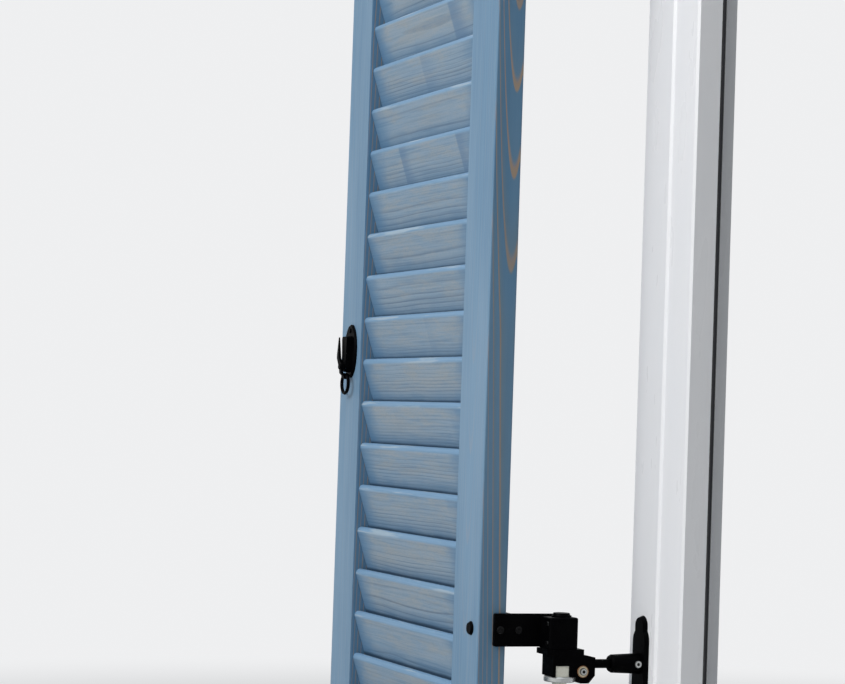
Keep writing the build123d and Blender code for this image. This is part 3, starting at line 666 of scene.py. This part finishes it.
# Every node gets its finish
def finish_nodes():
    by_slot = {
        "black_metal": black_coat(),
        "zinc": zinc_plate(),
        "nylon": nylon(),
        "window_white": frame_white(),
    }
    for part in frame["record"]["subparts"]:
        if part["material_slot"] in by_slot:
            paint(part["node"], by_slot[part["material_slot"]])
    finish_leaf_wood("left", 1, 0.0)
    finish_leaf_wood("right", -1, 5.3)
    knuckle_screws = screw_black("knuckle_screw_black", shine=0.5)
    for side in ("left", "right"):
        paint(side + "_arm_screws", arm_screw_zinc(side + "_arm_screw_zinc"))
        paint(side + "_knuckle_screws", knuckle_screws)


# Selects the faces of the active piece that pass a test, and stays in edit mode
def pick_faces(piece, test):
    bpy.ops.object.mode_set(mode="EDIT")
    bpy.ops.mesh.select_mode(type="FACE")
    bpy.ops.mesh.select_all(action="DESELECT")
    bpy.ops.object.mode_set(mode="OBJECT")
    for face in piece.data.polygons:
        face.select = test(face)
    bpy.ops.object.mode_set(mode="EDIT")


# A cylinder standing on z = 0, with its place applied to its mesh
def start_cylinder(name, radius, height, vertices=32):
    bpy.ops.object.select_all(action="DESELECT")
    middle = (0, 0, height / 2)
    bpy.ops.mesh.primitive_cylinder_add(vertices=vertices, radius=radius, depth=height, location=middle)
    bpy.ops.object.transform_apply(location=True, rotation=True, scale=True)
    piece = bpy.context.object
    piece.name = name
    return piece


# A screw head standing on z = 0: sloped rim, slightly raised middle and a six-sided socket
def model_screw_head(name, radius, height, socket):
    piece = start_cylinder(name, radius, height)
    pick_faces(piece, lambda face: face.normal.z > 0.9)
    bpy.ops.mesh.inset(thickness=radius * 0.16)
    bpy.ops.transform.translate(value=(0, 0, height * 0.25))
    bpy.ops.mesh.inset(thickness=radius * 0.14)
    bpy.ops.transform.translate(value=(0, 0, height * 0.08))
    bpy.ops.object.mode_set(mode="OBJECT")
    cutter = start_cylinder(name + "_socket", socket, height, 6)
    bpy.ops.transform.translate(value=(0, 0, height * 0.6))
    bpy.ops.object.transform_apply(location=True, rotation=False, scale=False)
    bpy.ops.object.select_all(action="DESELECT")
    piece.select_set(True)
    bpy.context.view_layer.objects.active = piece
    cut = piece.modifiers.new("socket", "BOOLEAN")
    cut.operation = "DIFFERENCE"
    cut.object = cutter
    bpy.ops.object.modifier_apply(modifier="socket")
    soften = piece.modifiers.new("rim", "BEVEL")
    soften.width = radius * 0.06
    soften.segments = 2
    soften.limit_method = "ANGLE"
    bpy.ops.object.modifier_apply(modifier="rim")
    bpy.ops.object.shade_smooth_by_angle(angle=radians(35))
    bpy.data.objects.remove(cutter)
    return piece


# Puts a copy of a modelled screw at its place, its axis turned from +Z to the given direction
def set_in_place(model, name, place, direction, body):
    piece = bpy.data.objects.new(name, model.data.copy())
    bpy.context.scene.collection.objects.link(piece)
    turn = Vector(direction).to_track_quat("Z", "Y").to_matrix().to_4x4()
    piece.data.transform(Matrix.Translation(place) @ turn)
    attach(piece, body)


# Screws of the hinge straps, which hold their side plates to the hinge stile
STRAP_SCREW_RADIUS = 0.0042
STRAP_SCREW_HEIGHT = 0.0010
STRAP_SCREW_SOCKET = 0.0016
STRAP_SCREWS_IN = (0.0235, 0.0445)
STRAP_PLATE = 0.005
BOLT_RADIUS = 0.008


def fit_fasteners():
    sizes = (STRAP_SCREW_RADIUS, STRAP_SCREW_HEIGHT, STRAP_SCREW_SOCKET)
    strap_screw = model_screw_head("strap_screw", *sizes)
    strap_screw.data.materials.clear()
    strap_screw.data.materials.append(screw_black("strap_screw_black", shine=0.16))
    for side, sign in (("left", 1), ("right", -1)):
        bolts_low, bolts_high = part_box(side + "_hinge_bolts")
        outside = (LEFT_EDGE + STRAP_PLATE) * sign
        levels = (("lower", bolts_low.z + BOLT_RADIUS), ("upper", bolts_high.z - BOLT_RADIUS))
        for level, height in levels:
            for order, inward in enumerate(STRAP_SCREWS_IN):
                place = (outside, ROOM_FACE + inward, height)
                name = side + "_" + level + "_strap_screw_" + str(order + 1)
                set_in_place(strap_screw, name, place, (sign, 0, 0), side + "_leaf")
    bpy.data.objects.remove(strap_screw)


# Black rubber, a little dusty
def rubber_seal():
    material, tree, sockets, position = new_material("rubber_seal")
    uneven = use_group(tree, SPECKLE, Position=position, Scale=300.0)
    tree.links.new(blend(tree, uneven["Broad"], SEAL_GREY, SEAL_DUSTY), sockets["Base Color"])
    sockets["Roughness"].default_value = 0.6
    sockets["Specular IOR Level"].default_value = 0.25
    return material


# Rubber seal round the opening, in the corner behind the frame's lip, pressed a little into it
SEAL_RADIUS = 0.0024
SEAL_PRESSED = 0.0004
LIP_DEPTH = 0.033


def fit_seal():
    jamb_low, jamb_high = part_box("left_jamb")
    reach = abs(jamb_high.x) + SEAL_PRESSED
    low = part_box("frame_bottom")[1].z - SEAL_PRESSED
    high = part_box("frame_head")[0].z + SEAL_PRESSED
    back = jamb_low.y + LIP_DEPTH + SEAL_RADIUS
    path = bpy.data.curves.new("frame_seal_path", "CURVE")
    path.dimensions = "3D"
    path.bevel_depth = SEAL_RADIUS
    path.bevel_resolution = 3
    line = path.splines.new("POLY")
    corners = ((-reach, low), (reach, low), (reach, high), (-reach, high))
    line.points.add(len(corners) - 1)
    for point, (x, z) in zip(line.points, corners):
        point.co = (x, back, z, 1)
    line.use_cyclic_u = True
    seal = bpy.data.objects.new("frame_seal", path)
    bpy.context.scene.collection.objects.link(seal)
    bpy.ops.object.select_all(action="DESELECT")
    seal.select_set(True)
    bpy.context.view_layer.objects.active = seal
    bpy.ops.object.convert(target="MESH")
    seal = bpy.context.object
    seal.name = "frame_seal"
    bpy.ops.object.shade_smooth_by_angle(angle=radians(40))
    seal.data.materials.clear()
    seal.data.materials.append(rubber_seal())
    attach(seal, "frame")


# 1 for what the camera sees itself, in a mirror or through glass, 0 for the light that bounces
def seen_directly(tree):
    path = tree.nodes.new("ShaderNodeLightPath").outputs
    either = calc(tree, "MAXIMUM", path["Is Camera Ray"], path["Is Glossy Ray"])
    return calc(tree, "MAXIMUM", either, path["Is Transmission Ray"])


# Stage: a pale floor that fades into the backdrop, so that only the object's shadow shows
FLOOR_RADIUS = 9.0
FLOOR_GAP = 0.0004
FLOOR_FADE = (1.2, 2.6)


def make_floor():
    bpy.ops.object.select_all(action="DESELECT")
    below = (0, 0, FRAME_BASE - FLOOR_GAP)
    bpy.ops.mesh.primitive_circle_add(
        vertices=96, radius=FLOOR_RADIUS, fill_type="NGON", location=below
    )
    floor = bpy.context.object
    floor.name = "stage_floor"
    material = bpy.data.materials.new("stage_pale")
    material.use_nodes = True
    tree = material.node_tree
    tree.nodes.clear()
    position = tree.nodes.new("ShaderNodeTexCoord").outputs["Object"]
    distance = put(tree, "ShaderNodeVectorMath", {0: position}, operation="LENGTH").outputs["Value"]
    grained = noise(tree, position, 30.0)
    shade = blend(tree, ramp(tree, grained, 0.3, 0.7, 0.0, 0.3), FLOOR_PALE, FLOOR_SHADE)
    matt = put(tree, "ShaderNodeBsdfDiffuse", {"Color": shade}).outputs[0]
    glow = put(tree, "ShaderNodeEmission", {"Color": BACKDROP, "Strength": 1.0}).outputs[0]
    seen = seen_directly(tree)
    fade = calc(tree, "MULTIPLY", ramp(tree, distance, *FLOOR_FADE), seen)
    mixed = put(tree, "ShaderNodeMixShader", {0: fade, 1: matt, 2: glow}).outputs[0]
    output = tree.nodes.new("ShaderNodeOutputMaterial")
    tree.links.new(mixed, output.inputs["Surface"])
    floor.data.materials.append(material)


def light_world():
    world = bpy.data.worlds.new("studio")
    bpy.context.scene.world = world
    world.use_nodes = True
    tree = world.node_tree
    tree.nodes.clear()
    ambient = put(tree, "ShaderNodeBackground", {"Color": AMBIENT, "Strength": 0.12}).outputs[0]
    shown = put(tree, "ShaderNodeBackground", {"Color": BACKDROP, "Strength": 1.0}).outputs[0]
    mixed = put(tree, "ShaderNodeMixShader", {0: seen_directly(tree), 1: ambient, 2: shown}).outputs[0]
    output = tree.nodes.new("ShaderNodeOutputWorld")
    tree.links.new(mixed, output.inputs["Surface"])


def add_lamp(name, place, aim, size, power, tint):
    data = bpy.data.lights.new(name, "AREA")
    data.shape = "DISK"
    data.size = size
    data.energy = power
    data.color = tint
    lamp = bpy.data.objects.new(name, data)
    bpy.context.scene.collection.objects.link(lamp)
    lamp.location = place
    lamp.rotation_euler = (Vector(aim) - Vector(place)).to_track_quat("-Z", "Y").to_euler()


# Camera as in the photograph: far to the right, and nearly in line with the shutters' faces
IMAGE_WIDTH = 845
FOCAL_PIXELS = 2450
CAMERA_PLACE = (1.872, -1.242, 0.4218)
CAMERA_TURN = radians(68.62)
CAMERA_PITCH = radians(1.72)
CAMERA_ROLL = radians(1.94)


def make_camera():
    data = bpy.data.cameras.new("camera")
    data.sensor_width = 36.0
    data.lens = FOCAL_PIXELS / IMAGE_WIDTH * data.sensor_width
    data.clip_start = 0.05
    data.clip_end = 60.0
    camera = bpy.data.objects.new("camera", data)
    bpy.context.scene.collection.objects.link(camera)
    turn = Matrix.Rotation(CAMERA_TURN, 4, "Z") @ Matrix.Rotation(pi / 2 + CAMERA_PITCH, 4, "X")
    camera.matrix_world = Matrix.Translation(CAMERA_PLACE) @ turn @ Matrix.Rotation(CAMERA_ROLL, 4, "Z")
    bpy.context.scene.camera = camera


bpy.ops.object.select_all(action="DESELECT")
bpy.context.scene.view_settings.view_transform = "Standard"
make_camera()
light_world()
make_floor()
add_lamp(
    "front_lamp", place=(0.8, -4.2, 2.9), aim=(0, -0.1, 0.5), size=3.2, power=153.0, tint=(1.0, 1.0, 1.0)
)
add_lamp(
    "sky_lamp", place=(0.2, -1.2, 4.2), aim=(0, -0.2, 0.5), size=3.0, power=46.0, tint=(0.9, 0.95, 1.0)
)
finish_nodes()
fit_fasteners()
fit_seal()
